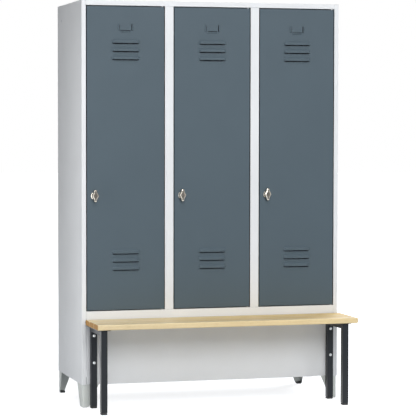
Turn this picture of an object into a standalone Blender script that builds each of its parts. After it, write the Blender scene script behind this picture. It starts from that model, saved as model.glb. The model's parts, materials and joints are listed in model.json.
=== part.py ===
# Steel locker with three doors, a slatted bench in front and tapered sheet feet.
# Metres, +Z up. Built in the case's own coordinates (X from its centre line, Y from its front
# face to the rear, Z from the floor), then moved so that the origin lies on the floor under the
# middle of the whole object.

import math

import bmesh
import bpy
from mathutils import Matrix, Vector

MM = 0.001

# Case: the steel body
CASE_WIDTH = 1200 * MM
CASE_DEPTH = 500 * MM
CASE_TOP = 1800 * MM
CASE_BASE = 102 * MM
SHEET = 1.0 * MM
FOLD_RADIUS = 1.5 * MM
FIT = 0.3 * MM
OVERRUN = 2 * MM
MERGE_DISTANCE = 0.02 * MM

# Front frame: stiles, posts, rails and the stop lips behind the doors
DOORS = 3
STILE_WIDTH = 20 * MM
POST_WIDTH = 40 * MM
TOP_RAIL_HEIGHT = 22 * MM
SILL_HEIGHT = 428 * MM
SILL_FACE_HEIGHT = 44 * MM
STOP_DEPTH = 22 * MM
STOP_LIP = 10 * MM
REAR_FLANGE = 15 * MM
PANEL_FLANGE = 20 * MM
PARTITION_FLANGE = 24 * MM

# Doors
DOOR_GAP = 4 * MM
DOOR_DEPTH = 19 * MM
DOOR_LIP = 12 * MM
DOOR_EDGE_RADIUS = 1.2 * MM
PIVOT_INSET = 8 * MM
PIVOT_DEPTH = 5 * MM
PIVOT_RADIUS = 2.5 * MM
PIVOT_SHOULDER_RADIUS = 3.5 * MM
PIVOT_LENGTH = 9 * MM
PIVOT_BODY_LENGTH = 10 * MM
CHANNEL_WIDTH = 36 * MM
CHANNEL_DEPTH = 15 * MM
CHANNEL_WING = 8 * MM

# Louvres and the card holder's pockets, pressed out of the door sheet and slit at their mouths
LOUVRE_WIDTH = 127 * MM
LOUVRE_HEIGHT = 17 * MM
LOUVRE_DEPTH = 8 * MM
LOUVRE_SLOPE = 7 * MM
LOUVRE_CORNER_RADIUS = 12 * MM
LOUVRE_SLIT = 4.5 * MM
LOUVRE_PITCH = 36 * MM
LOUVRES_PER_GROUP = 3
LOUVRE_TOP_DROP = 160.5 * MM
LOUVRE_BOTTOM_RISE = 178.5 * MM
CARD_WIDTH = 58 * MM
CARD_SIDE_HEIGHT = 31 * MM
CARD_FOOT_WIDTH = 48 * MM
CARD_DROP = 107 * MM
POCKET_HEIGHT = 6 * MM
POCKET_DEPTH = 3.5 * MM
POCKET_SLOPE = 2.5 * MM
POCKET_CORNER_RADIUS = 4 * MM
POCKET_SLIT = 2.5 * MM

# Turn latch
LATCH_INSET = 35 * MM
LATCH_HEIGHT = 939 * MM
ROSE_RADIUS = 17 * MM
ROSE_DEPTH = 3.5 * MM
BARREL_RADIUS = 9 * MM
BARREL_END = 22 * MM
LATCH_NUT_RADIUS = 13 * MM
LATCH_NUT_DEPTH = 4 * MM
HUB_RADIUS = 12.5 * MM
HUB_DEPTH = 6 * MM
GRIP_LENGTH = 56 * MM
GRIP_LOBE_RADIUS = 8 * MM
GRIP_NECK = 17 * MM
GRIP_BELLY = 32 * MM
GRIP_CORNER_RADIUS = 5 * MM
GRIP_DEPTH = 15 * MM
GRIP_LIFT = 1 * MM
GRIP_EDGE_RADIUS = 6 * MM
SPINDLE_RADIUS = 4 * MM
CAM_WIDTH = 16 * MM
CAM_REACH = 44 * MM
CAM_THICKNESS = 3 * MM
CAM_CLEARANCE = 2 * MM
CAM_SCREW_RADIUS = 5.5 * MM
CAM_SCREW_HEIGHT = 4 * MM

# Fittings inside each compartment
SHELF_HEIGHT = 1500 * MM
SHELF_FRONT = 32 * MM
SHELF_FLANGE = 15 * MM
RAIL_RADIUS = 9 * MM
RAIL_WALL = 1.5 * MM
RAIL_DROP = 60 * MM
RAIL_FLANGE_RADIUS = 15 * MM
RAIL_FLANGE = 2 * MM

# Feet of the case
FRONT_FOOT_FACE = 76 * MM
FRONT_FOOT_FACE_TOE = 34 * MM
FRONT_FOOT_SIDE = 98 * MM
FRONT_FOOT_SIDE_TOE = 46 * MM
FRONT_FOOT_SETBACK = 5 * MM
REAR_FOOT_WIDTH = 64 * MM
REAR_FOOT_TOE = 28 * MM
FOOT_FOLD_RADIUS = 8 * MM
FOOT_CHAMFER = 6 * MM
FOOT_TAB = 34 * MM
GLIDE_SIZE = 22 * MM
GLIDE_INSET = 2.2 * MM
GLIDE_HEIGHT = 9 * MM
GLIDE_FOOT = 2 * MM
GLIDE_EDGE = 1 * MM

# Bench
SEAT_END_GAP = 2.5 * MM
SEAT_SHIFT = 12 * MM
SEAT_TOP = 392.5 * MM
SLAT_COUNT = 3
SLAT_WIDTH = 74 * MM
SLAT_THICKNESS = 24 * MM
SLAT_GAP = 6 * MM
SLAT_EDGE_RADIUS = 4 * MM
SEAT_REAR_GAP = 6 * MM
FRAME_INSET = 46 * MM
FRAME_SHIFT = 3 * MM
TUBE = 28 * MM
TUBE_WALL = 2 * MM
TUBE_EDGE_RADIUS = 2 * MM
FRAME_REACH = 222 * MM
RAIL_HEIGHT = 24 * MM
PLATE_THICKNESS = 3 * MM
PLATE_OVERHANG = 14 * MM
FRONT_GUSSET_RADIUS = 24 * MM
REAR_GUSSET_RADIUS = 10 * MM
GUSSET_THICKNESS = 4 * MM
PLATE_SINK = 1 * MM
CAP_HEIGHT = 9 * MM
CAP_EDGE_RADIUS = 3 * MM
CAP_STEM_HEIGHT = 18 * MM

# Fasteners
BOLT_RADIUS = 4 * MM
BOLT_HEAD_RADIUS = 6.5 * MM
BOLT_HEAD_HEIGHT = 4 * MM
BOLT_LOW = 203 * MM
BOLT_SPACING = 120 * MM
BOLT_TAIL = 9 * MM
NUT_RADIUS = 7.5 * MM
NUT_HEIGHT = 6 * MM
PLUG_RADIUS = 6.5 * MM
PLUG_SINK = 0.2 * MM
PLUG_FLANGE_RADIUS = 9 * MM
PLUG_FLANGE_DEPTH = 1.5 * MM
PLUG_DROP = 70 * MM
PLUG_SETBACK = 80 * MM

# Sizes that follow from those above
HALF_WIDTH = CASE_WIDTH / 2
OPENING_TOP = CASE_TOP - TOP_RAIL_HEIGHT
OPENING_WIDTH = (CASE_WIDTH - 2 * STILE_WIDTH - (DOORS - 1) * POST_WIDTH) / DOORS
BAY_PITCH = OPENING_WIDTH + POST_WIDTH
STOP_DEEP = STOP_DEPTH + SHEET + FIT
FLOOR_TOP = SILL_HEIGHT + STOP_LIP
SILL_LOW = SILL_HEIGHT - SILL_FACE_HEIGHT
REAR_INNER = CASE_DEPTH - 2 * SHEET - FIT
DOOR_WIDTH = OPENING_WIDTH - 2 * DOOR_GAP
DOOR_LOW = SILL_HEIGHT + DOOR_GAP
DOOR_HEIGHT = OPENING_TOP - DOOR_GAP - DOOR_LOW
SEAT_LENGTH = CASE_WIDTH - 2 * SEAT_END_GAP
SEAT_DEPTH = SLAT_COUNT * SLAT_WIDTH + (SLAT_COUNT - 1) * SLAT_GAP
SEAT_FRONT = -(SEAT_REAR_GAP + SEAT_DEPTH)
PLATE_TOP = SEAT_TOP - SLAT_THICKNESS - FIT
PLATE_UNDER = PLATE_TOP - PLATE_THICKNESS
BOLT_HEIGHTS = (BOLT_LOW, BOLT_LOW + BOLT_SPACING)
BAYS = ("left", "middle", "right")
SIDES = (("left", -1), ("right", 1))

# The origin: under the middle of the box that holds the case and the bench
BOX_LEFT = min(-HALF_WIDTH, SEAT_SHIFT - SEAT_LENGTH / 2)
BOX_RIGHT = max(HALF_WIDTH, SEAT_SHIFT + SEAT_LENGTH / 2)
ORIGIN = Vector(((BOX_LEFT + BOX_RIGHT) / 2, (CASE_DEPTH + SEAT_FRONT) / 2, 0))

# Facets of the round shapes, and the angles that they turn through
SMOOTH_ANGLE = 35
ROUND_STEPS = 20
FINE_STEPS = 10
FOLD_STEPS = 2
FOOT_FOLD_STEPS = 4
GUSSET_STEPS = 6
HOOD_STEPS = 3
EDGE_STEPS = 1
GRIP_STEPS = 3
BELLY_SWEEP = 28
CAM_STEPS = 6


def clear_scene():
    for thing in list(bpy.context.scene.objects):
        bpy.data.objects.remove(thing, do_unlink=True)


def new_collection(name):
    group = bpy.data.collections.new(name)
    bpy.context.scene.collection.children.link(group)
    return group


def finish(name, colour, roughness, metallic):
    """A plain surface finish for the pieces that share it."""
    made = bpy.data.materials.new(name)
    made.use_nodes = True
    shader = made.node_tree.nodes["Principled BSDF"]
    shader.inputs["Base Color"].default_value = (*colour, 1.0)
    shader.inputs["Roughness"].default_value = roughness
    shader.inputs["Metallic"].default_value = metallic
    made.diffuse_color = (*colour, 1.0)
    return made


# Pieces: a mesh becomes a named object in the locker's collection


def place(name, mesh, material, parent, spot=(0, 0, 0), smooth=True):
    """A named piece at a spot given in its parent's coordinates."""
    piece = bpy.data.objects.new(name, mesh)
    PARTS.objects.link(piece)
    piece.parent = parent
    piece.location = spot
    if not mesh.materials:
        mesh.materials.append(material)
    if smooth:
        mesh.shade_smooth()
        mesh.set_sharp_from_angle(angle=math.radians(SMOOTH_ANGLE))
    return piece


def holder(name, spot, parent=None):
    """An empty that carries pieces, on the axis that they turn about."""
    empty = bpy.data.objects.new(name, None)
    empty.empty_display_size = STILE_WIDTH
    PARTS.objects.link(empty)
    empty.parent = parent
    empty.location = spot
    return empty


def to_mesh(bm, name):
    bmesh.ops.recalc_face_normals(bm, faces=bm.faces)
    mesh = bpy.data.meshes.new(name)
    bm.to_mesh(mesh)
    bm.free()
    return mesh


def evaluated(thing, name):
    """The mesh of an object with its modifiers applied, and the object gone."""
    bpy.context.view_layer.update()
    seen = thing.evaluated_get(bpy.context.evaluated_depsgraph_get())
    mesh = bpy.data.meshes.new_from_object(seen)
    mesh.name = name
    bpy.data.objects.remove(thing, do_unlink=True)
    return mesh


def worked(mesh, steps):
    """A mesh run through modifiers: each step is a type and its settings."""
    bench = bpy.data.objects.new(mesh.name, mesh)
    PARTS.objects.link(bench)
    for kind, settings in steps:
        modifier = bench.modifiers.new(kind.title(), kind)
        for key, value in settings.items():
            setattr(modifier, key, value)
    return evaluated(bench, mesh.name)


def thicken(mesh, thickness=SHEET, side=1):
    settings = {"thickness": thickness, "offset": side, "use_even_offset": True}
    return worked(mesh, [("SOLIDIFY", settings)])


def bevel(mesh, width, segments=2):
    settings = {"width": width, "segments": segments, "limit_method": "ANGLE"}
    return worked(mesh, [("BEVEL", settings)])


def combine(mesh, other, operation):
    """Joins another mesh to a mesh, or cuts it away."""
    tool = bpy.data.objects.new("cutter_" + mesh.name, other)
    CUTTERS.objects.link(tool)
    tool.hide_render = True
    tool.display_type = "WIRE"
    made = worked(mesh, [("BOOLEAN", {"operation": operation, "object": tool, "solver": "EXACT"})])
    bpy.data.objects.remove(tool, do_unlink=True)
    return made


def merged(meshes, name):
    """Several separate solids as one mesh."""
    bm = bmesh.new()
    for mesh in meshes:
        bm.from_mesh(mesh)
    return to_mesh(bm, name)


def moved(mesh, spot=(0, 0, 0), turn=None):
    """A copy of a mesh, turned and then moved."""
    copy = mesh.copy()
    copy.transform(Matrix.Translation(Vector(spot)) @ (turn or Matrix.Identity(4)))
    return copy


def mirrored(mesh, axis):
    """A copy of a mesh reflected across the plane through zero, square to an axis."""
    copy = mesh.copy()
    normal = Vector([1.0 if i == axis else 0.0 for i in range(3)])
    copy.transform(Matrix.Scale(-1, 4, normal))
    copy.flip_normals()
    return copy


def box(low, high, name="box"):
    bm = bmesh.new()
    bmesh.ops.create_cube(bm, size=1)
    low, high = Vector(low), Vector(high)
    bmesh.ops.scale(bm, vec=high - low, verts=bm.verts)
    bmesh.ops.translate(bm, vec=(low + high) / 2, verts=bm.verts)
    return to_mesh(bm, name)


# Turns that lay a shape made along Z on another axis
ALONG_Y = Matrix.Rotation(math.radians(-90), 4, "X")
ALONG_X = Matrix.Rotation(math.radians(90), 4, "Y")

# The turn that stands a flat outline upright, across the object
UPRIGHT = Matrix.Rotation(math.radians(90), 4, "Z") @ Matrix.Rotation(math.radians(90), 4, "X")

# The turn that stands a flat outline upright, facing the front
FACING = Matrix.Rotation(math.radians(90), 4, "X")


def rod(radius, low, high, turn=None, steps=ROUND_STEPS, name="rod"):
    """A cylinder between two heights on Z, laid on another axis by the turn."""
    bm = bmesh.new()
    bmesh.ops.create_cone(
        bm, cap_ends=True, segments=steps, radius1=radius, radius2=radius, depth=high - low
    )
    bmesh.ops.translate(bm, vec=(0, 0, (low + high) / 2), verts=bm.verts)
    mesh = to_mesh(bm, name)
    if turn:
        mesh.transform(turn)
    return mesh


def turned(profile, turn=None, steps=ROUND_STEPS, name="turned"):
    """A revolved solid: (radius, height) points down the outer side, made with a Screw."""
    bm = bmesh.new()
    points = [bm.verts.new((radius, 0, height)) for radius, height in profile]
    for a, b in zip(points, points[1:]):
        bm.edges.new((a, b))
    mesh = bpy.data.meshes.new(name)
    bm.to_mesh(mesh)
    bm.free()
    screw = {"steps": steps, "render_steps": steps, "use_merge_vertices": True}
    mesh = worked(mesh, [("SCREW", {**screw, "merge_threshold": MERGE_DISTANCE})])
    bm = bmesh.new()
    bm.from_mesh(mesh)
    bmesh.ops.remove_doubles(bm, verts=bm.verts, dist=MERGE_DISTANCE)
    mesh = to_mesh(bm, name)
    if turn:
        mesh.transform(turn)
    return mesh


def filleted(points, radius, steps=FOLD_STEPS):
    """A path of 2-D points with its corners rounded, as a sheet is folded."""
    path = [Vector(points[0])]
    for before, corner, after in zip(points, points[1:], points[2:]):
        corner = Vector(corner)
        back = (Vector(before) - corner).normalized()
        ahead = (Vector(after) - corner).normalized()
        start, end = corner + back * radius, corner + ahead * radius
        centre = corner + (back + ahead) * radius
        for i in range(steps + 1):
            angle = math.pi / 2 * i / steps
            spoke = (start - centre) * math.cos(angle) + (end - centre) * math.sin(angle)
            path.append(centre + spoke)
    path.append(Vector(points[-1]))
    return path


def folded(points, spans, axis, name="folded", radius=FOLD_RADIUS):
    """A folded sheet: a path of square corners, each run drawn out over its own span.

    The path lies in the plane square to the axis, and the material lies on the right of it,
    as seen by someone who walks along it with the axis pointing up. Fold arcs take the shorter
    span of the two runs that they join.
    """
    if isinstance(spans, tuple):
        spans = [spans] * (len(points) - 1)
    path = filleted(points, radius)
    runs = []
    for i, span in enumerate(spans):
        runs.append(span)
        if i + 1 < len(spans):
            after = spans[i + 1]
            bend = (max(span[0], after[0]), min(span[1], after[1]))
            runs += [bend] * FOLD_STEPS
    stations = sorted({end for span in runs for end in span})
    other = [i for i in range(3) if i != axis]
    bm = bmesh.new()

    def corner(point, height):
        spot = [0, 0, 0]
        spot[other[0]], spot[other[1]], spot[axis] = point.x, point.y, height
        return bm.verts.new(spot)

    for (a, b), (low, high) in zip(zip(path, path[1:]), runs):
        for bottom, top in zip(stations, stations[1:]):
            if bottom >= low and top <= high:
                ring = [corner(a, bottom), corner(b, bottom), corner(b, top), corner(a, top)]
                bm.faces.new(ring if axis != 1 else ring[::-1])
    bmesh.ops.remove_doubles(bm, verts=bm.verts, dist=MERGE_DISTANCE)
    mesh = bpy.data.meshes.new(name)
    bm.to_mesh(mesh)
    bm.free()
    return thicken(mesh)


def tray(low, high, open_axis, open_sign, lip=0.0, name="tray", radius=0.0):
    """An open box of folded sheet inside the given corners, with an inner lip if asked."""
    bm = bmesh.new()
    bm.from_mesh(box(low, high))
    for face in list(bm.faces):
        if face.normal[open_axis] * open_sign > 0.5:
            bmesh.ops.delete(bm, geom=[face], context="FACES_ONLY")
            break
    if lip:
        rim = [edge for edge in bm.edges if edge.is_boundary]
        grown = bmesh.ops.extrude_edge_only(bm, edges=rim)["geom"]
        verts = [item for item in grown if isinstance(item, bmesh.types.BMVert)]
        centre = (Vector(low) + Vector(high)) / 2
        for vert in verts:
            for i in range(3):
                if i != open_axis:
                    vert.co[i] += lip if vert.co[i] < centre[i] else -lip
    bmesh.ops.recalc_face_normals(bm, faces=bm.faces)
    mesh = bpy.data.meshes.new(name)
    bm.to_mesh(mesh)
    bm.free()
    steps = []
    if radius:
        steps.append(("BEVEL", {"width": radius, "segments": 2, "limit_method": "ANGLE"}))
    steps.append(("SOLIDIFY", {"thickness": SHEET, "offset": -1, "use_even_offset": True}))
    return worked(mesh, steps)


def flat_outline(points, thickness, name="plate", edge=0.0, steps=EDGE_STEPS):
    """A closed flat outline in XY, drawn as a filled curve of the given thickness about Z.

    Its edges can be rounded inside the outline, or chamfered where the steps are 0.
    """
    curve = bpy.data.curves.new(name, "CURVE")
    curve.dimensions = "2D"
    curve.fill_mode = "BOTH"
    curve.extrude = thickness / 2 - edge
    curve.bevel_depth = edge
    curve.bevel_resolution = steps
    curve.offset = -edge
    line = curve.splines.new("POLY")
    line.points.add(len(points) - 1)
    for spot, (x, y) in zip(line.points, points):
        spot.co = (x, y, 0, 1)
    line.use_cyclic_u = True
    drawn = bpy.data.objects.new(name, curve)
    PARTS.objects.link(drawn)
    mesh = evaluated(drawn, name)
    bm = bmesh.new()
    bm.from_mesh(mesh)
    bmesh.ops.remove_doubles(bm, verts=bm.verts, dist=MERGE_DISTANCE)
    return to_mesh(bm, name)


# Case: folded side panels, roof, floor, rear wall, posts and partitions


def side_panel():
    """The left side: its front edge is folded into the stile with the stop lip, its rear inward."""
    inner = -HALF_WIDTH + STILE_WIDTH
    top = CASE_TOP - SHEET - FIT
    points = [
        (inner + STOP_LIP, STOP_DEPTH),
        (inner, STOP_DEPTH),
        (inner, 0),
        (-HALF_WIDTH, 0),
        (-HALF_WIDTH, CASE_DEPTH),
        (-HALF_WIDTH + REAR_FLANGE, CASE_DEPTH),
    ]
    lip = (SILL_HEIGHT + FOLD_RADIUS, OPENING_TOP - FOLD_RADIUS)
    back = (CASE_BASE + FOOT_TAB + FIT, top)
    whole = (CASE_BASE, top)
    panel = folded(points, [lip, back, whole, whole, whole], 2, "side_panel")
    hole = rod(PLUG_RADIUS + FIT, -OVERRUN, SHEET + OVERRUN, ALONG_X)
    spot = (-HALF_WIDTH, CASE_DEPTH - PLUG_SETBACK, CASE_TOP - PLUG_DROP)
    return combine(panel, moved(hole, spot), "DIFFERENCE")


def rear_panel():
    """The rear wall: one sheet held in front of the sides' rear flanges."""
    edge = HALF_WIDTH - SHEET - FIT
    outer = REAR_INNER + SHEET
    return box((-edge, REAR_INNER, CASE_BASE), (edge, outer, CASE_TOP - SHEET - FIT), "rear_panel")


def roof_panel():
    """The roof: its front edge is folded into the top rail with a stop lip, its rear down."""
    inner = HALF_WIDTH - STILE_WIDTH - FIT
    points = [
        (STOP_DEEP, OPENING_TOP - STOP_LIP),
        (STOP_DEEP, OPENING_TOP),
        (0, OPENING_TOP),
        (0, CASE_TOP),
        (CASE_DEPTH, CASE_TOP),
        (CASE_DEPTH, CASE_TOP - REAR_FLANGE),
    ]
    narrow = (-inner, inner)
    wide = (-HALF_WIDTH, HALF_WIDTH)
    roof = folded(points, [narrow, narrow, narrow, wide, narrow], 0, "roof_panel")
    return combine(roof, pivot_holes(OPENING_TOP - OVERRUN, OPENING_TOP + OVERRUN), "DIFFERENCE")


def compartment_floor():
    """The floor of the three bays: its front edge is the rail under the doors."""
    inner = HALF_WIDTH - STILE_WIDTH - FIT
    edge = HALF_WIDTH - SHEET - FIT
    rear = REAR_INNER - FIT
    points = [
        (rear, FLOOR_TOP - REAR_FLANGE),
        (rear, FLOOR_TOP),
        (STOP_DEEP, FLOOR_TOP),
        (STOP_DEEP, SILL_HEIGHT),
        (0, SILL_HEIGHT),
        (0, SILL_LOW + FIT),
        (PANEL_FLANGE, SILL_LOW + FIT),
    ]
    narrow = (-inner, inner)
    wide = (-edge, edge)
    flange = (-edge + REAR_FLANGE, edge - REAR_FLANGE)
    spans = [flange, wide, narrow, narrow, narrow, narrow]
    floor = folded(points[::-1], spans[::-1], 0, "compartment_floor")
    return combine(floor, pivot_holes(SILL_HEIGHT - OVERRUN, SILL_HEIGHT + OVERRUN), "DIFFERENCE")


def bay_centre(index):
    return (index - (DOORS - 1) / 2) * BAY_PITCH


def pivot_spot(index):
    """Where a door's hinge axis stands: near its right edge, just behind its face."""
    return bay_centre(index) + DOOR_WIDTH / 2 - PIVOT_INSET


def pivot_holes(low, high):
    """Cutters for the hinge pins of every door, between two heights."""
    hole = rod(PIVOT_RADIUS + FIT, low, high, steps=FINE_STEPS)
    spots = [(pivot_spot(i), PIVOT_DEPTH, 0) for i in range(DOORS)]
    return merged([moved(hole, spot) for spot in spots], "pivot_holes")


def post():
    """A post between two doors, with a stop lip on each side."""
    half = POST_WIDTH / 2
    points = [
        (-half - STOP_LIP, STOP_DEPTH),
        (-half, STOP_DEPTH),
        (-half, 0),
        (half, 0),
        (half, STOP_DEPTH),
        (half + STOP_LIP, STOP_DEPTH),
    ]
    lip = (SILL_HEIGHT + FOLD_RADIUS, OPENING_TOP - FOLD_RADIUS)
    tall = (SILL_HEIGHT + FIT, OPENING_TOP - FIT)
    return folded(points[::-1], [lip, tall, tall, tall, lip], 2, "post")


def partition():
    """A wall between two bays, folded one way at the front and the other way at the rear."""
    front = STOP_DEEP + SHEET + FIT
    rear = REAR_INNER - FIT - SHEET
    points = [(-PARTITION_FLANGE, front), (0, front), (0, rear), (REAR_FLANGE, rear)]
    span = (FLOOR_TOP + FIT, CASE_TOP - SHEET - FIT)
    return folded(points[::-1], span, 2, "partition")


def under_bench_panel():
    """The panel under the doors, with its edges folded back and holes for the bench bolts."""
    inner = HALF_WIDTH - STILE_WIDTH - FIT
    between_feet = inner - FRONT_FOOT_FACE - STILE_WIDTH
    points = [(PANEL_FLANGE, SILL_LOW), (0, SILL_LOW), (0, CASE_BASE), (PANEL_FLANGE, CASE_BASE)]
    spans = [(-inner, inner), (-inner, inner), (-between_feet, between_feet)]
    panel = folded(points[::-1], spans[::-1], 0, "under_bench_panel")
    return combine(panel, bolt_holes(), "DIFFERENCE")


# Compartment fittings: hat shelf and coat rail


def bay_walls(index):
    """The two inner faces, left and right, of a bay."""
    left, right = bay_centre(index) - BAY_PITCH / 2, bay_centre(index) + BAY_PITCH / 2 - SHEET
    if index == 0:
        left = SHEET - HALF_WIDTH
    if index == DOORS - 1:
        right = HALF_WIDTH - SHEET
    return left, right


def hat_shelf(index):
    left, right = bay_walls(index)
    rear = REAR_INNER - SHEET - 2 * FIT
    low = (left + FIT, SHELF_FRONT, SHELF_HEIGHT - SHELF_FLANGE)
    high = (right - FIT, rear, SHELF_HEIGHT)
    return tray(low, high, 2, -1, name="hat_shelf", radius=FOLD_RADIUS)


def coat_rail(index):
    """A tube across the bay, with a flange at each end that is riveted to the wall."""
    left, right = bay_walls(index)
    left, right = left + FIT, right - FIT
    bore = RAIL_RADIUS - RAIL_WALL
    profile = [
        (bore, right),
        (RAIL_FLANGE_RADIUS, right),
        (RAIL_FLANGE_RADIUS, right - RAIL_FLANGE),
        (RAIL_RADIUS, right - RAIL_FLANGE),
        (RAIL_RADIUS, left + RAIL_FLANGE),
        (RAIL_FLANGE_RADIUS, left + RAIL_FLANGE),
        (RAIL_FLANGE_RADIUS, left),
        (bore, left),
        (bore, right),
    ]
    return turned(profile, ALONG_X, name="coat_rail")


# Feet of the case and their glides


def foot_face(rear):
    """Where a foot's outer face across the case stands, front or rear."""
    return REAR_INNER - FIT if rear else FRONT_FOOT_SETBACK


def foot(rear):
    """A tapered foot of the left side: an angle of sheet with a tab up inside the case."""
    low, top = GLIDE_FOOT, CASE_BASE + FOOT_TAB
    side_x = -HALF_WIDTH + SHEET + FIT
    face_y = foot_face(rear)
    inward = -1 if rear else 1
    face = side = (REAR_FOOT_TOE, REAR_FOOT_WIDTH)
    if not rear:
        face = (FRONT_FOOT_FACE_TOE, FRONT_FOOT_FACE)
        side = (FRONT_FOOT_SIDE_TOE, FRONT_FOOT_SIDE)
    stations = [
        (low, face[0] - FOOT_CHAMFER, side[0] - FOOT_CHAMFER),
        (low + FOOT_CHAMFER, face[0], side[0]),
        (CASE_BASE, face[1], side[1]),
        (top, face[1], side[1]),
    ]
    bm = bmesh.new()
    rows = []
    for height, across, along in stations:
        path = filleted([(across, 0), (0, 0), (0, along)], FOOT_FOLD_RADIUS, FOOT_FOLD_STEPS)
        rows.append([bm.verts.new((side_x + x, face_y + inward * y, height)) for x, y in path])
    for lower, upper in zip(rows, rows[1:]):
        for i in range(len(lower) - 1):
            ring = [lower[i], lower[i + 1], upper[i + 1], upper[i]]
            bm.faces.new(ring if rear else ring[::-1])
    mesh = bpy.data.meshes.new("foot")
    bm.to_mesh(mesh)
    bm.free()
    return thicken(mesh, side=-1)


def foot_glide():
    """A plastic block in the bottom corner of a foot, standing on the floor."""
    half = GLIDE_SIZE / 2
    return bevel(box((-half, -half, 0), (half, half, GLIDE_HEIGHT), "foot_glide"), GLIDE_EDGE, 1)


def glide_spot(side, rear):
    """A glide's middle: as close to the foot's rounded corner as its own corner allows."""
    reach = SHEET + GLIDE_INSET + GLIDE_SIZE / 2
    x = side * (HALF_WIDTH - SHEET - FIT - reach)
    return (x, foot_face(rear) + (-reach if rear else reach), 0)


# Bench: three slats on two welded frames


def frame_spot(side):
    return FRAME_SHIFT + side * (HALF_WIDTH - FRAME_INSET)


def slat_rear(index):
    """The rear edge of a slat, counted from the case to the front."""
    return -SEAT_REAR_GAP - index * (SLAT_WIDTH + SLAT_GAP)


def seat_slat(index):
    rear = slat_rear(index)
    low = (SEAT_SHIFT - SEAT_LENGTH / 2, rear - SLAT_WIDTH, SEAT_TOP - SLAT_THICKNESS)
    high = (SEAT_SHIFT + SEAT_LENGTH / 2, rear, SEAT_TOP)
    return bevel(box(low, high, "seat_slat"), SLAT_EDGE_RADIUS, 3)


def leg_spots():
    """Front and rear faces, along Y, of the rear leg and the front leg."""
    return ((-FIT - TUBE, -FIT), (-FRAME_REACH, -FRAME_REACH + TUBE))


def bench_frame():
    """A welded frame: tube legs and rail, corner gussets and the plate under the slats."""
    half = TUBE / 2
    low = CAP_HEIGHT + FIT
    under = PLATE_UNDER - RAIL_HEIGHT
    (rear_in, rear_out), (front_out, front_in) = leg_spots()
    outline = [
        (rear_out, low),
        (rear_out, PLATE_UNDER),
        (front_out, PLATE_UNDER),
        (front_out, low),
        (front_in, low),
        (front_in, under),
        (rear_in, under),
        (rear_in, low),
    ]
    solid = flat_outline(outline, TUBE, "bench_frame")
    solid.transform(UPRIGHT)
    solid = bevel(solid, TUBE_EDGE_RADIUS, 2)
    corners = ((rear_in, -1, REAR_GUSSET_RADIUS), (front_in, 1, FRONT_GUSSET_RADIUS))
    for edge, sign, reach in corners:
        web = flat_outline(gusset_outline(sign, reach), GUSSET_THICKNESS, "gusset")
        web.transform(Matrix.Translation((0, edge, under)) @ UPRIGHT)
        solid = combine(solid, web, "UNION")
    wide = half + PLATE_OVERHANG
    plate_low = (-wide, front_out + TUBE_EDGE_RADIUS, PLATE_UNDER - PLATE_SINK)
    plate_high = (wide, rear_out - TUBE_EDGE_RADIUS, PLATE_TOP)
    solid = combine(solid, box(plate_low, plate_high, "plate"), "UNION")
    inner = half - TUBE_WALL
    for near, far in leg_spots():
        bore = box((-inner, near + TUBE_WALL, 0), (inner, far - TUBE_WALL, under), "bore")
        solid = combine(solid, bore, "DIFFERENCE")
    hole = rod(BOLT_RADIUS + FIT, -OVERRUN, TUBE + OVERRUN, ALONG_Y, FINE_STEPS)
    holes = [moved(hole, (0, rear_in, height)) for height in BOLT_HEIGHTS]
    return combine(solid, merged(holes, "holes"), "DIFFERENCE")


def gusset_outline(sign, reach):
    """A corner web with a hollow curved edge, sunk a little into the tubes that it joins."""
    sink = TUBE_WALL / 2
    points = [(-sink, sink), (reach, sink)]
    for i in range(GUSSET_STEPS + 1):
        angle = math.pi / 2 * i / GUSSET_STEPS
        points.append((reach - reach * math.sin(angle), -reach + reach * math.cos(angle)))
    points.append((-sink, -reach))
    return [(sign * x, y) for x, y in points]


def leg_cap():
    """A plastic plug: a rounded shoe under the tube and a stem up inside it."""
    half = TUBE / 2
    shoe = bevel(box((-half, -half, 0), (half, half, CAP_HEIGHT), "leg_cap"), CAP_EDGE_RADIUS, 2)
    inner = half - TUBE_WALL - FIT
    stem_top = CAP_HEIGHT + CAP_STEM_HEIGHT
    stem = box((-inner, -inner, CAP_HEIGHT / 2), (inner, inner, stem_top), "stem")
    return combine(shoe, stem, "UNION")


# Fasteners


def bolt_holes():
    hole = rod(BOLT_RADIUS + FIT, -OVERRUN, SHEET + OVERRUN, ALONG_Y, FINE_STEPS)
    spots = [(frame_spot(side), 0, height) for _, side in SIDES for height in BOLT_HEIGHTS]
    return merged([moved(hole, spot) for spot in spots], "bolt_holes")


def bench_bolt():
    """A round-headed bolt through the rear leg into the case, with its nut run on."""
    head = TUBE + 2 * FIT
    profile = [
        (0, BOLT_TAIL),
        (BOLT_RADIUS, BOLT_TAIL),
        (BOLT_RADIUS, -head),
        (BOLT_HEAD_RADIUS, -head),
        (BOLT_HEAD_RADIUS, -head - BOLT_HEAD_HEIGHT / 2),
        (BOLT_HEAD_RADIUS - BOLT_HEAD_HEIGHT / 2, -head - BOLT_HEAD_HEIGHT),
        (0, -head - BOLT_HEAD_HEIGHT),
    ]
    bolt = turned(profile, ALONG_Y, FINE_STEPS, "bench_bolt")
    nut = rod(NUT_RADIUS, SHEET + FIT, SHEET + FIT + NUT_HEIGHT, ALONG_Y, 6)
    return combine(bolt, nut, "UNION")


def side_plug():
    """A plug, pointing along +X, that fills the hole for bolting two lockers together.

    Its face lies just under the side's face, and its flange lies on the sheet's inner face.
    """
    flange = SHEET + FIT
    profile = [
        (0, flange + PLUG_FLANGE_DEPTH),
        (PLUG_FLANGE_RADIUS, flange + PLUG_FLANGE_DEPTH),
        (PLUG_FLANGE_RADIUS, flange),
        (PLUG_RADIUS, flange),
        (PLUG_RADIUS, PLUG_SINK),
        (0, PLUG_SINK),
    ]
    return turned(profile, ALONG_X, name="side_plug")


# Doors, in coordinates that start on the hinge axis at floor level


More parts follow.
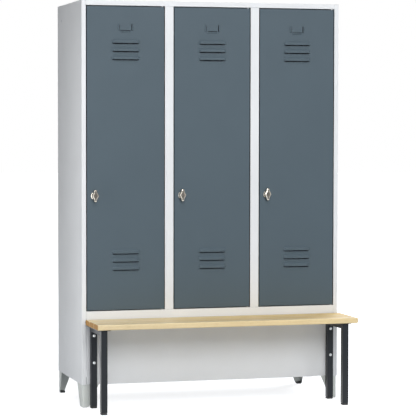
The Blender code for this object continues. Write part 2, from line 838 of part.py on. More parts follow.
def raised(half, height, depth, slope, corner, name="raised"):
    """A form that stands out from the door's face: a flat front between chamfered edges.

    Its upper corners are rounded, and it reaches below zero, where its mouth is cut.
    """
    points = [(half, -height)]
    for i in range(HOOD_STEPS + 1):
        angle = math.pi / 2 * i / HOOD_STEPS
        across = half - corner + corner * math.cos(angle)
        points.append((across, height - corner + corner * math.sin(angle)))
    outline = points + [(-x, z) for x, z in reversed(points)]
    body = flat_outline(outline, 2 * depth, name, slope, 0)
    body.transform(FACING)
    return body


def hood(length, height, depth, slope, corner, slit):
    """A hood pressed out of the door sheet, with its mouth at zero, facing down.

    The first mesh is the skin to add. The second is the hollow to cut away, with the slit in
    the sheet below the mouth.
    """
    half = length / 2
    skin = raised(half, height, depth, slope, corner)
    above_mouth = box((-length, -2 * depth, 0), (length, SHEET / 2, 2 * height))
    skin = combine(skin, above_mouth, "INTERSECT")
    inset = (half - SHEET, height - SHEET, depth - SHEET, slope - SHEET, corner - SHEET)
    hollow = raised(*inset)
    through = box((-length, -2 * depth, -SHEET), (length, SHEET + OVERRUN, 2 * height))
    hollow = combine(hollow, through, "INTERSECT")
    opening = box((slope - half, -SHEET, -slit), (half - slope, SHEET + OVERRUN, SHEET))
    return skin, combine(hollow, opening, "UNION")


def louvre_spots():
    """Heights of the mouths of the six louvres."""
    top = DOOR_LOW + DOOR_HEIGHT - LOUVRE_TOP_DROP
    bottom = DOOR_LOW + LOUVRE_BOTTOM_RISE
    upper = [top - i * LOUVRE_PITCH for i in range(LOUVRES_PER_GROUP)]
    lower = [bottom + i * LOUVRE_PITCH for i in range(LOUVRES_PER_GROUP)]
    return upper + lower


def door_panel():
    """The door: a folded pan with six louvres and a card holder pressed out of its face."""
    left = PIVOT_INSET - DOOR_WIDTH
    middle = left + DOOR_WIDTH / 2
    face = -PIVOT_DEPTH
    low = (left, face, DOOR_LOW)
    high = (PIVOT_INSET, face + DOOR_DEPTH, DOOR_LOW + DOOR_HEIGHT)
    pan = tray(low, high, 1, 1, DOOR_LIP, "door_panel", DOOR_EDGE_RADIUS)
    louvre_sizes = (LOUVRE_HEIGHT, LOUVRE_DEPTH, LOUVRE_SLOPE, LOUVRE_CORNER_RADIUS, LOUVRE_SLIT)
    pocket_sizes = (POCKET_HEIGHT, POCKET_DEPTH, POCKET_SLOPE, POCKET_CORNER_RADIUS, POCKET_SLIT)
    hoods = [(hood(LOUVRE_WIDTH, *louvre_sizes), (0, height), 0) for height in louvre_spots()]
    for length, spot, turn in card_pockets():
        hoods.append((hood(length, *pocket_sizes), spot, turn))
    for (skin, hollow), (across, height), turn in hoods:
        spot = (middle + across, face, height)
        facing = Matrix.Rotation(math.radians(turn), 4, "Y")
        pan = combine(pan, moved(skin, spot, facing), "UNION")
        pan = combine(pan, moved(hollow, spot, facing), "DIFFERENCE")
    latch_hole = rod(BARREL_RADIUS + FIT, -OVERRUN, SHEET + OVERRUN, ALONG_Y)
    holes = [moved(latch_hole, (latch_offset(), face, LATCH_HEIGHT))]
    for z in (DOOR_LOW, DOOR_LOW + DOOR_HEIGHT):
        holes.append(rod(PIVOT_RADIUS + FIT, z - OVERRUN, z + OVERRUN, steps=FINE_STEPS))
    return combine(pan, merged(holes, "holes"), "DIFFERENCE")


def card_pockets():
    """The three pockets that hold a card, with their mouths towards it: left, right and foot.

    Each has its length, its mouth's place from the door's middle, and its turn in degrees.
    """
    foot = DOOR_LOW + DOOR_HEIGHT - CARD_DROP
    side = foot + CARD_SIDE_HEIGHT / 2
    return [
        (CARD_SIDE_HEIGHT, (-CARD_WIDTH / 2, side), -90),
        (CARD_SIDE_HEIGHT, (CARD_WIDTH / 2, side), 90),
        (CARD_FOOT_WIDTH, (0, foot), 180),
    ]


def latch_offset():
    """The latch's place along X, from the hinge axis."""
    return PIVOT_INSET - DOOR_WIDTH + LATCH_INSET


def door_channel():
    """The stiffening channel behind the latch, folded like a hat."""
    half = CHANNEL_WIDTH / 2
    near = -PIVOT_DEPTH + SHEET + FIT
    far = -PIVOT_DEPTH + CHANNEL_DEPTH - SHEET
    points = [
        (-half - CHANNEL_WING, near),
        (-half, near),
        (-half, far),
        (half, far),
        (half, near),
        (half + CHANNEL_WING, near),
    ]
    low = DOOR_LOW + SHEET + FIT
    high = DOOR_LOW + DOOR_HEIGHT - SHEET - FIT
    path = [(latch_offset() + x, y) for x, y in reversed(points)]
    channel = folded(path, (low, high), 2, "door_channel")
    hole = rod(BARREL_RADIUS + FIT, -OVERRUN, SHEET + OVERRUN, ALONG_Y)
    return combine(channel, moved(hole, (latch_offset(), far, LATCH_HEIGHT)), "DIFFERENCE")


def pivot_pin():
    """A hinge pin, seen from the door's top edge: a collar inside and a shoulder outside."""
    shoulder = DOOR_GAP - FIT
    collar = -SHEET - FIT
    profile = [
        (0, DOOR_GAP + PIVOT_LENGTH),
        (PIVOT_RADIUS, DOOR_GAP + PIVOT_LENGTH),
        (PIVOT_RADIUS, shoulder),
        (PIVOT_SHOULDER_RADIUS, shoulder),
        (PIVOT_SHOULDER_RADIUS, FIT),
        (PIVOT_RADIUS, FIT),
        (PIVOT_RADIUS, collar),
        (PIVOT_SHOULDER_RADIUS, collar),
        (PIVOT_SHOULDER_RADIUS, collar - PIVOT_BODY_LENGTH),
        (0, collar - PIVOT_BODY_LENGTH),
    ]
    return turned(profile, steps=FINE_STEPS, name="pivot_pin")


# Latch, in coordinates that start on the handle's axis, at the door's face


def latch_housing():
    """The round plate outside, the threaded barrel through the door, and its nut run on."""
    bore = SPINDLE_RADIUS + FIT
    profile = [
        (bore, BARREL_END),
        (BARREL_RADIUS, BARREL_END),
        (BARREL_RADIUS, -FIT),
        (ROSE_RADIUS, -FIT),
        (ROSE_RADIUS, -FIT - ROSE_DEPTH / 2),
        (ROSE_RADIUS - ROSE_DEPTH / 2, -FIT - ROSE_DEPTH),
        (bore, -FIT - ROSE_DEPTH),
        (bore, BARREL_END),
    ]
    housing = turned(profile, ALONG_Y, name="latch_housing")
    near = CHANNEL_DEPTH + FIT
    nut = rod(LATCH_NUT_RADIUS, near, near + LATCH_NUT_DEPTH, ALONG_Y, 6)
    through = rod(BARREL_RADIUS - FIT, near - OVERRUN, near + LATCH_NUT_DEPTH + OVERRUN, ALONG_Y)
    return combine(housing, combine(nut, through, "DIFFERENCE"), "UNION")


def hub_front():
    """How far the hub's rear face stands from the door's face."""
    return -FIT - ROSE_DEPTH - FIT


def turn_handle():
    """The grip, the round hub under it and the spindle behind, cast in one."""
    front = hub_front()
    profile = [
        (0, cam_near() - FIT),
        (SPINDLE_RADIUS, cam_near() - FIT),
        (SPINDLE_RADIUS, front),
        (HUB_RADIUS, front),
        (HUB_RADIUS, front - HUB_DEPTH / 2),
        (HUB_RADIUS - HUB_DEPTH / 2, front - HUB_DEPTH),
        (0, front - HUB_DEPTH),
    ]
    hub = turned(profile, ALONG_Y, name="turn_handle")
    return combine(hub, grip(front), "UNION")


def grip(front):
    """The grip's body: a lozenge with a round lobe at each end and rounded flanks."""
    lobe = GRIP_LOBE_RADIUS
    reach = GRIP_LENGTH / 2 - lobe
    corner = GRIP_BELLY / 2 - GRIP_CORNER_RADIUS
    quarter = []
    for i in range(GRIP_STEPS + 1):
        angle = math.pi / 2 * (1 - i / GRIP_STEPS)
        quarter.append((lobe * math.cos(angle), reach + lobe * math.sin(angle)))
    quarter.append((lobe, GRIP_NECK))
    for share in (1, 0):
        angle = math.radians(BELLY_SWEEP * share)
        wide = corner + GRIP_CORNER_RADIUS * math.cos(angle)
        quarter.append((wide, GRIP_CORNER_RADIUS * math.sin(angle)))
    right = quarter + [(x, -z) for x, z in reversed(quarter[:-1])]
    outline = right + [(-x, z) for x, z in reversed(right[1:-1])]
    deep = GRIP_DEPTH - GRIP_LIFT
    body = flat_outline(outline, 2 * deep, "grip", GRIP_EDGE_RADIUS)
    body.transform(Matrix.Translation((0, front - GRIP_LIFT, 0)) @ FACING)
    low = (-GRIP_LENGTH, front - GRIP_DEPTH - OVERRUN, -GRIP_LENGTH)
    high = (GRIP_LENGTH, front - GRIP_LIFT, GRIP_LENGTH)
    return combine(body, box(low, high, "front_half"), "INTERSECT")


def cam_near():
    """How far behind the door's face the cam starts: just behind the stop lips."""
    return STOP_DEPTH + SHEET + CAM_CLEARANCE


def latch_cam():
    """The locking cam, upright when the latch is open, with its screw head."""
    near = cam_near()
    half = CAM_WIDTH / 2
    outline = []
    for start, height in ((0, CAM_REACH - half), (math.pi, 0)):
        for i in range(CAM_STEPS + 1):
            angle = start + math.pi * i / CAM_STEPS
            outline.append((half * math.cos(angle), height + half * math.sin(angle)))
    plate = flat_outline(outline, CAM_THICKNESS, "latch_cam")
    plate.transform(Matrix.Translation((0, near + CAM_THICKNESS / 2, 0)) @ FACING)
    low, high = near + CAM_THICKNESS / 2, near + CAM_THICKNESS + CAM_SCREW_HEIGHT
    return combine(plate, rod(CAM_SCREW_RADIUS, low, high, ALONG_Y, FINE_STEPS), "UNION")


# Finishes

clear_scene()
PARTS = new_collection("locker_with_bench")
CUTTERS = new_collection("cutters")

LIGHT_GREY = finish("light grey powder coat", (0.76, 0.78, 0.80), 0.45, 0.0)
BLUE_GREY = finish("blue grey powder coat", (0.11, 0.15, 0.18), 0.45, 0.0)
ANTHRACITE = finish("anthracite powder coat", (0.035, 0.038, 0.045), 0.4, 0.0)
BEECH = finish("lacquered beech", (0.70, 0.50, 0.25), 0.35, 0.0)
ZINC = finish("zinc plated steel", (0.70, 0.70, 0.72), 0.3, 1.0)
CHROME = finish("nickel plated zinc casting", (0.72, 0.71, 0.69), 0.2, 1.0)
BLACK_PLASTIC = finish("black polyethylene", (0.015, 0.015, 0.016), 0.5, 0.0)
GREY_PLASTIC = finish("grey polyethylene", (0.62, 0.64, 0.66), 0.5, 0.0)

# Assembly: the fixed pieces

CASE = holder("case_frame", -ORIGIN)

left_side = side_panel()
place("side_panel_left", left_side, LIGHT_GREY, CASE)
place("side_panel_right", mirrored(left_side, 0), LIGHT_GREY, CASE)
place("rear_panel", rear_panel(), LIGHT_GREY, CASE)
place("roof_panel", roof_panel(), LIGHT_GREY, CASE)
place("compartment_floor", compartment_floor(), LIGHT_GREY, CASE)
place("under_bench_panel", under_bench_panel(), LIGHT_GREY, CASE)

post_mesh = post()
partition_mesh = partition()
for name, side in SIDES:
    place("post_" + name, post_mesh, LIGHT_GREY, CASE, (side * BAY_PITCH / 2, 0, 0))
    place("partition_" + name, partition_mesh, LIGHT_GREY, CASE, (side * BAY_PITCH / 2, 0, 0))

for index, bay in enumerate(BAYS):
    place("hat_shelf_" + bay, hat_shelf(index), LIGHT_GREY, CASE)
    rail_spot = (0, CASE_DEPTH / 2, SHELF_HEIGHT - RAIL_DROP)
    place("coat_rail_" + bay, coat_rail(index), ZINC, CASE, rail_spot)

glide_mesh = foot_glide()
for row, rear in (("front", False), ("rear", True)):
    left_foot = foot(rear)
    for name, side in SIDES:
        foot_mesh = left_foot if side < 0 else mirrored(left_foot, 0)
        place("foot_" + row + "_" + name, foot_mesh, LIGHT_GREY, CASE)
        spot = glide_spot(side, rear)
        place("foot_glide_" + row + "_" + name, glide_mesh, BLACK_PLASTIC, CASE, spot)

for index, row in enumerate(("rear", "middle", "front")):
    place("seat_slat_" + row, seat_slat(index), BEECH, CASE)
frame_mesh = bench_frame()
cap_mesh = leg_cap()
bolt_mesh = bench_bolt()
plug_mesh = side_plug()
for name, side in SIDES:
    x = frame_spot(side)
    place("bench_frame_" + name, frame_mesh, ANTHRACITE, CASE, (x, 0, 0))
    for row, (near, far) in zip(("rear", "front"), leg_spots()):
        spot = (x, (near + far) / 2, 0)
        place("leg_cap_" + row + "_" + name, cap_mesh, BLACK_PLASTIC, CASE, spot)
    for row, height in zip(("lower", "upper"), BOLT_HEIGHTS):
        place("bench_bolt_" + row + "_" + name, bolt_mesh, ZINC, CASE, (x, 0, height))
    plug = plug_mesh if side < 0 else mirrored(plug_mesh, 0)
    plug_spot = (side * HALF_WIDTH, CASE_DEPTH - PLUG_SETBACK, CASE_TOP - PLUG_DROP)
    place("side_plug_" + name, plug, GREY_PLASTIC, CASE, plug_spot)

# Assembly: the doors and their latches

door_meshes = (
    ("door_panel", door_panel(), BLUE_GREY),
    ("door_channel", door_channel(), BLUE_GREY),
)
latch_meshes = (
    ("latch_housing", latch_housing(), CHROME),
    ("turn_handle", turn_handle(), CHROME),
    ("latch_cam", latch_cam(), ZINC),
)
top_pin = pivot_pin()
bottom_pin = mirrored(top_pin, 2)
for index, bay in enumerate(BAYS):
    hinge = holder("hinge_axis_" + bay, (pivot_spot(index), PIVOT_DEPTH, 0), CASE)
    for name, mesh, material in door_meshes:
        place(name + "_" + bay, mesh, material, hinge)
    place("pivot_pin_top_" + bay, top_pin, ZINC, hinge, (0, 0, DOOR_LOW + DOOR_HEIGHT))
    place("pivot_pin_bottom_" + bay, bottom_pin, ZINC, hinge, (0, 0, DOOR_LOW))
    latch = holder("latch_axis_" + bay, (latch_offset(), -PIVOT_DEPTH, LATCH_HEIGHT), hinge)
    for name, mesh, material in latch_meshes:
        place(name + "_" + bay, mesh, material, latch)
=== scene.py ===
"""Finishes, small fittings and studio for a steel clothes locker with a slatted bench.

The locker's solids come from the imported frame, in metres, with +Z up and the front towards -Y.
"""

import json
import math

import bmesh
import bpy
from bpy.props import FloatProperty, FloatVectorProperty, PointerProperty
from bpy.types import Operator, Panel, PropertyGroup
from mathutils import Matrix, Vector


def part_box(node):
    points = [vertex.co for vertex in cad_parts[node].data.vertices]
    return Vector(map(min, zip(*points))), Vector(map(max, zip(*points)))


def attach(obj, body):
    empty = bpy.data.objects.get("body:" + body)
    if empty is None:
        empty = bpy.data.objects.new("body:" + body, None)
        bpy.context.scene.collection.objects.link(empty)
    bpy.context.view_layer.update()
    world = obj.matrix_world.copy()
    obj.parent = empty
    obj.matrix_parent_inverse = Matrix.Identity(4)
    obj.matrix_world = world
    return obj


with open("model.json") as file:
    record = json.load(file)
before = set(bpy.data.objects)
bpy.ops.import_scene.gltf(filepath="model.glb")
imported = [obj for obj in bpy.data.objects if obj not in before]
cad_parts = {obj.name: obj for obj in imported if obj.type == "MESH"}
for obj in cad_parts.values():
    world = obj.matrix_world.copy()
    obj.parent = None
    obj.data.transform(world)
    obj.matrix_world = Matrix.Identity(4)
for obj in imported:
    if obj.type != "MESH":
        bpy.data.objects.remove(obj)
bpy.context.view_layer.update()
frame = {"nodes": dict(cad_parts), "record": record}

bl_info = {
    "name": "Locker with Bench",
    "version": (1, 0, 0),
    "blender": (4, 5, 0),
    "location": "3D View > Sidebar > Locker",
    "description": "Finishes, small fittings and studio for a steel locker with a bench",
    "category": "Object",
}

MM = 0.001
BAYS = ("left", "middle", "right")
SIDES = ("left", "right")
SLATS = ("rear", "middle", "front")

# Turns that lay an upright piece along another axis
HEAD_DOWN = Matrix.Rotation(math.pi, 4, "X")
HEAD_FRONT = Matrix.Rotation(math.pi / 2, 4, "X")


def linear(code):
    """The linear colour of an sRGB hex value such as #5C6972."""
    channels = [int(code[i : i + 2], 16) / 255 for i in (1, 3, 5)]
    return tuple(c / 12.92 if c <= 0.04045 else ((c + 0.055) / 1.055) ** 2.4 for c in channels)


def colour(code, name, description):
    """A colour that the user can change, given as an sRGB hex value."""
    return FloatVectorProperty(
        name=name, description=description, subtype="COLOR", size=3, min=0, max=1, default=linear(code)
    )


def length(millimetres, name, description):
    """A length that the user can change, given in millimetres."""
    return FloatProperty(
        name=name, description=description, subtype="DISTANCE", unit="LENGTH", min=0,
        default=millimetres * MM, precision=4,
    )


class LockerFinishes(PropertyGroup):
    """Colours of the finishes."""

    case_grey: colour("#EAECEE", "Case", "Powder coat of the case and the shelves")
    # Feet: a greener grey coat, made darker as painted shade for their front faces under the case
    feet_grey_and_shade: colour("#DADEDA", "Feet", "Powder coat of the feet, a shade darker than the case")
    door_grey: colour("#53616A", "Doors", "Powder coat of the doors")
    frame_grey: colour("#23272C", "Bench frames", "Powder coat of the bench's frames")
    # The palest beech, used at the boards' left ends, is lightened by a painted sheen
    beech: colour("#F9E8C0", "Beech", "Palest lacquered beech between its growth rings")
    beech_warm: colour("#E9CC88", "Warm beech", "Warmest lacquered beech between its growth rings")
    beech_ring: colour("#CFA865", "Beech rings", "The denser late wood of the growth rings")
    beech_end: colour("#BE8A3E", "Beech ends", "End grain, darkened by the lacquer that it drinks")
    zinc: colour("#D3D6DA", "Zinc", "Bright zinc plate")
    nickel: colour("#D2CBBF", "Nickel", "Nickel plate on the latches")
    black: colour("#1B1C1E", "Black plastic", "Moulded polyethylene of the glides and caps")
    grey: colour("#C9CDD1", "Grey plastic", "Moulded polyethylene of the side plugs")
    rubber: colour("#232426", "Rubber", "Buffers behind the doors")


class LockerSizes(PropertyGroup):
    """Sizes of the small fittings that the frame leaves out."""

    screw_radius: length(4.5, "Screw head radius", "Pan head of the screws that hold the slats")
    screw_height: length(2.4, "Screw head height", "Pan head of the screws that hold the slats")
    screw_aside: length(21, "Screw aside", "From the bench frame's centre to its screws")
    plate: length(3, "Plate", "Thickness of the bench frames' top plates")
    buffer_radius: length(2.6, "Buffer radius", "Rubber buffers on the stop lips")
    buffer_inset: length(3.1, "Buffer inset", "From the door's latch edge to a buffer's centre")
    stop_depth: length(22, "Stop depth", "From the case's front to its stop lips")
    buffer_drop: length(150, "Buffer drop", "From a door's ends to its buffers")


class LockerStage(PropertyGroup):
    """Camera, room and floor."""

    camera_spot: FloatVectorProperty(
        name="Camera", description="Place of the camera", subtype="TRANSLATION", unit="LENGTH",
        size=3, default=(-2.3728, -7.931, 1.248),
    )
    yaw: FloatProperty(
        name="Yaw", description="Turn of the camera to the right", subtype="ANGLE",
        default=math.radians(14.93),
    )
    pitch: FloatProperty(
        name="Pitch", description="Tilt of the camera downwards", subtype="ANGLE",
        default=math.radians(2.59),
    )
    lens: FloatProperty(
        name="Lens", description="Focal length", subtype="DISTANCE_CAMERA", default=157.2
    )
    shift: FloatProperty(
        name="Shift", description="Sideways shift that the photograph's crop gives", default=0.139
    )
    ambient: FloatProperty(
        name="Ambient", description="Strength of the pale room round the locker", default=0.1, min=0
    )
    floor_white: colour("#D3D7DC", "Floor", "Matt white floor")
    glow_near: FloatProperty(
        name="Glow near", description="White that the floor shows round the locker", default=0.82, min=0
    )
    glow_near_reach: FloatProperty(
        name="Near reach", description="Distance at which the floor starts to whiten",
        subtype="DISTANCE", unit="LENGTH", default=0.9,
    )
    glow_far_reach: FloatProperty(
        name="Far reach", description="Distance at which the floor is white",
        subtype="DISTANCE", unit="LENGTH", default=2.4,
    )


def finishes():
    """The colours as the user has set them."""
    return bpy.context.scene.locker_finishes


def sizes():
    """The sizes as the user has set them."""
    return bpy.context.scene.locker_sizes


# Materials

# Most of a noise's values lie between these two
NOISE_LOW = 0.3
NOISE_HIGH = 0.7

# Shares of open surroundings at which the painted shade in a narrow gap is darkest and at which it is
# gone
GAP_CLOSED = 0.2
GAP_CLEAR = 0.46
GAP_SAMPLES = 8

# How deep a gap's walls count for the painted shade, in sheet and between slats, and what is left of a
# colour in that painted shade
SHEET_GAP_SHADE_REACH = 14 * MM
SLAT_GAP_SHADE_REACH = 16 * MM
GAP_SHADE_BLACK = 0.02
GAP_SHADE_DIM = 0.1


def add_node(tree, kind, inputs=None, gives=None, **settings):
    """Adds a shader node with its settings, and its inputs as values or links.

    It gives the output that is named, or else the node.
    """
    node = tree.nodes.new(kind)
    for name, value in settings.items():
        setattr(node, name, value)
    for name, value in (inputs or {}).items():
        socket = node.inputs[name]
        if isinstance(value, bpy.types.NodeSocket):
            tree.links.new(value, socket)
        elif socket.type == "RGBA":
            socket.default_value = (*value[:3], 1.0)
        else:
            socket.default_value = value
    return node.outputs[gives] if gives else node


def new_material(name):
    """A new material and its empty tree."""
    material = bpy.data.materials.new(name)
    material.use_nodes = True
    material.node_tree.nodes.clear()
    return material, material.node_tree


def surface(tree, inputs):
    """Ends a tree in a Principled shader, whose constants are set on its own sockets."""
    shader = add_node(tree, "ShaderNodeBsdfPrincipled", inputs, "BSDF")
    add_node(tree, "ShaderNodeOutputMaterial", {"Surface": shader})


def scaled(colour_value, share):
    """A colour made darker or lighter, and no lighter than white."""
    return tuple(min(c * share, 1.0) for c in colour_value)


def patches(tree, points, pattern, low=0.0, high=1.0):
    """A number from low to high that varies in patches.

    A pattern is the width of its patches in metres and its number of finer layers.
    """
    width, layers = pattern
    noise = add_node(
        tree, "ShaderNodeTexNoise", {"Vector": points, "Scale": 1 / width, "Detail": layers}, "Fac"
    )
    return add_node(
        tree,
        "ShaderNodeMapRange",
        {"Value": noise, "From Min": NOISE_LOW, "From Max": NOISE_HIGH, "To Min": low, "To Max": high},
        "Result",
    )


def mottled(tree, points, base, pattern, tones):
    """A colour that varies in patches between two shares of its base."""
    dark, light = (scaled(base, tone) for tone in tones)
    share = patches(tree, points, pattern)
    return add_node(tree, "ShaderNodeMixRGB", {"Fac": share, "Color1": dark, "Color2": light}, "Color")


def relief(tree, points, pattern, height, below=None):
    """A surface that is raised in patches, over another relief where there is one."""
    width, layers = pattern
    noise = add_node(
        tree, "ShaderNodeTexNoise", {"Vector": points, "Scale": 1 / width, "Detail": layers}, "Fac"
    )
    inputs = {"Height": noise, "Distance": height, "Strength": 1.0}
    if below is not None:
        inputs["Normal"] = below
    return add_node(tree, "ShaderNodeBump", inputs, "Normal")


def painted_gap_shade(tree, tone, reach, darkest):
    """Paints shade into a colour where a narrow gap, a good deal deeper than wide, closes it in.

    Reach is the depth in metres over which the gap's walls count.
    """
    # painted shade: the colour is scaled down where the surroundings are closed in
    openness = add_node(
        tree, "ShaderNodeAmbientOcclusion", {"Distance": reach}, "AO", samples=GAP_SAMPLES
    )
    clear = add_node(
        tree,
        "ShaderNodeMapRange",
        {"Value": openness, "From Min": GAP_CLOSED, "From Max": GAP_CLEAR, "To Min": darkest},
        "Result",
    )
    return add_node(
        tree, "ShaderNodeVectorMath", {0: tone, "Scale": clear}, "Vector", operation="SCALE"
    )


# Powder coat: width and finer layers of each pattern, with the shares of its tones, its share of
# the colour, how far it changes the roughness, or its height
COAT_DRIFT = (220 * MM, 3)
COAT_DRIFT_TONES = (0.97, 1.03)
COAT_SPECKLE = (2.4 * MM, 1)
COAT_SPECKLE_TONES = (0.96, 1.04)
COAT_SPECKLE_SHARE = 0.3
COAT_RUB = (60 * MM, 4)
COAT_RUB_RANGE = 0.04
COAT_WAVE = (260 * MM, 0)
COAT_WAVE_HEIGHT = 0.35 * MM
COAT_PEEL = (2 * MM, 1)
COAT_PEEL_HEIGHT = 0.02 * MM
POLYESTER_IOR = 1.5

# Roughness and sheen of each powder coat
CASE_COAT = (0.46, 0.25)
DOOR_COAT = (0.5, 0.25)
FRAME_COAT = (0.32, 0.3)


def powder_coat(name, base, coat_gloss):
    """Polyester powder, sprayed on steel sheet and baked.

    It gives the eye a satin surface with a fine orange peel, about 2 mm from crest to crest, a
    slow waviness of the sheet under it, and a colour that drifts by a shade over a palm's width.
    Shade is painted into the folds and into the gaps round the doors, which go nearly black.
    """
    roughness, sheen = coat_gloss
    material, tree = new_material(name)
    points = add_node(tree, "ShaderNodeTexCoord", gives="Object")
    drift = mottled(tree, points, base, COAT_DRIFT, COAT_DRIFT_TONES)
    speckle = mottled(tree, points, base, COAT_SPECKLE, COAT_SPECKLE_TONES)
    coat = add_node(
        tree,
        "ShaderNodeMixRGB",
        {"Fac": COAT_SPECKLE_SHARE, "Color1": drift, "Color2": speckle},
        "Color",
    )
    least, most = roughness - COAT_RUB_RANGE, roughness + COAT_RUB_RANGE
    wave = relief(tree, points, COAT_WAVE, COAT_WAVE_HEIGHT)
    surface(
        tree,
        {
            # painted shade: the colour goes nearly black deep in the gaps round the doors and in the
            # folds
            "Base Color": painted_gap_shade(tree, coat, SHEET_GAP_SHADE_REACH, GAP_SHADE_BLACK),
            "Metallic": 0.0,
            "Roughness": patches(tree, points, COAT_RUB, least, most),
            "IOR": POLYESTER_IOR,
            "Normal": relief(tree, points, COAT_PEEL, COAT_PEEL_HEIGHT, wave),
            "Specular IOR Level": sheen,
        },
    )
    return material


# Beech: how each pattern is drawn out along X, the way of the grain
RINGS_DRAWN = (0.06, 1, 1)
CLOUDS_DRAWN = (0.25, 1, 1)
FIBRES_DRAWN = (0.045, 1, 1)

# Growth rings: their spacing, the width and finer layers of their sway and how far it shifts
# them, how ragged they are, and where in each the dense late wood starts and how strong it is
RING_SPACING = 4.2 * MM
RING_SWAY_WIDTH = 38 * MM
RING_SWAY_LAYERS = 2
RING_SHIFT = (0, 12 * MM, 9 * MM)
RING_RAGGEDNESS = 1.2
RING_RAG_LAYERS = 2.0
RING_RAG_FINENESS = 1.5
LATE_WOOD = 0.35
LATE_WOOD_STRENGTH = 0.7

# The wave texture repeats at this length where its scale is 1
WAVE_LENGTH = 2 * math.pi / 20

# Clouds: width and finer layers, and the shares of their tones
WOOD_CLOUDS = (90 * MM, 3)
WOOD_CLOUD_TONES = (0.93, 1.05)

# Fibres: width, finer layers and height, which of them show as flecks, how strongly, and as what
# share of the rings' tone
FIBRE_WIDTH = 1.6 * MM
FIBRE_LAYERS = 2
FIBRE_HEIGHT = 0.04 * MM
FLECKS_FROM = 0.6
FLECKS_FULL = 0.72
FLECK_STRENGTH = 0.4
FLECK_TONE = 0.62

# No two boards have the same tone, and each is paler towards its left end, where a painted sheen
# stands in for the lacquer's reflection: shares of the warmer beech at the left and from the middle
# on, and the places in X between which it changes
WARM_SHARES = {"rear": (0.08, 1.0), "middle": (0.0, 0.9), "front": (0.0, 0.3)}
WARM_FROM = -0.6
WARM_FULL = 0.1

# End grain starts to show, and is full, where the surface faces along X by these shares, and
# its late wood keeps this share of its tone
END_FROM = 0.4
END_FULL = 0.9
END_RING_TONE = 0.6

# Lacquer: roughness on the fibres and on the thirsty ends, and its sheen and clear coat
LACQUER_SMOOTH = 0.38
LACQUER_ROUGH = 0.5
LACQUER_ENDS = 0.8
LACQUER_IOR = 1.5
LACQUER_SHEEN = 0.3
LACQUER_COAT = 0.15
LACQUER_COAT_ROUGHNESS = 0.22

# The heart of each board's log: its depth under the rear board, and how far it moves along,
# aside and down, as seen from each board, from one board to the next
PITH_DEPTH = 60 * MM
PITH_ALONG = 310 * MM
PITH_ASIDE = 30 * MM
PITH_DEEPER = 22 * MM


def drawn_points(tree, drawn, centre=(0, 0, 0)):
    """Points of a board from a centre, scaled so that a pattern is drawn out along the grain."""
    points = add_node(tree, "ShaderNodeTexCoord", gives="Object")
    moved = add_node(
        tree, "ShaderNodeVectorMath", {0: points, 1: centre}, "Vector", operation="SUBTRACT"
    )
    return add_node(tree, "ShaderNodeVectorMath", {0: moved, 1: drawn}, "Vector", operation="MULTIPLY")


def growth_rings(tree, pith):
    """How much late wood shows, in rings round the heart of the board's log."""
    board = drawn_points(tree, RINGS_DRAWN, pith)
    sway = add_node(
        tree,
        "ShaderNodeTexNoise",
        {"Vector": board, "Scale": 1 / RING_SWAY_WIDTH, "Detail": RING_SWAY_LAYERS},
        "Fac",
    )
    shift = add_node(
        tree, "ShaderNodeVectorMath", {0: RING_SHIFT, "Scale": sway}, "Vector", operation="SCALE"
    )
    swayed = add_node(tree, "ShaderNodeVectorMath", {0: board, 1: shift}, "Vector", operation="ADD")
    rings = add_node(
        tree,
        "ShaderNodeTexWave",
        {
            "Vector": swayed,
            "Scale": WAVE_LENGTH / RING_SPACING,
            "Distortion": RING_RAGGEDNESS,
            "Detail": RING_RAG_LAYERS,
            "Detail Scale": RING_RAG_FINENESS,
        },
        "Fac",
        wave_type="RINGS",
        rings_direction="X",
        wave_profile="SAW",
    )
    late = add_node(tree, "ShaderNodeMapRange", {"Value": rings, "From Min": LATE_WOOD}, "Result")
    return add_node(
        tree, "ShaderNodeMath", {0: late, 1: LATE_WOOD_STRENGTH}, "Value", operation="MULTIPLY"
    )


def clouded_wood(tree, left, right):
    """The wood between the rings, clouded, from its left tone, lightened by a painted sheen, to its right
    one.
    """
    board = drawn_points(tree, CLOUDS_DRAWN)
    sheen_pale = mottled(tree, board, left, WOOD_CLOUDS, WOOD_CLOUD_TONES)
    warm = mottled(tree, board, right, WOOD_CLOUDS, WOOD_CLOUD_TONES)
    # the painted sheen at the left end gives way to the warm beech along X
    points = add_node(tree, "ShaderNodeTexCoord", gives="Object")
    place = add_node(tree, "ShaderNodeSeparateXYZ", {"Vector": points}, "X")
    drift = add_node(
        tree,
        "ShaderNodeMapRange",
        {"Value": place, "From Min": WARM_FROM, "From Max": WARM_FULL},
        "Result",
    )
    return add_node(
        tree, "ShaderNodeMixRGB", {"Fac": drift, "Color1": sheen_pale, "Color2": warm}, "Color"
    )


def cut_across(tree):
    """1 where the surface cuts across the grain, at a board's ends, and 0 along it."""
    normal = add_node(tree, "ShaderNodeNewGeometry", gives="True Normal")
    turned = add_node(tree, "ShaderNodeVectorMath", {0: normal}, "Vector", operation="ABSOLUTE")
    along = add_node(tree, "ShaderNodeSeparateXYZ", {"Vector": turned}, "X")
    return add_node(
        tree, "ShaderNodeMapRange", {"Value": along, "From Min": END_FROM, "From Max": END_FULL}, "Result"
    )


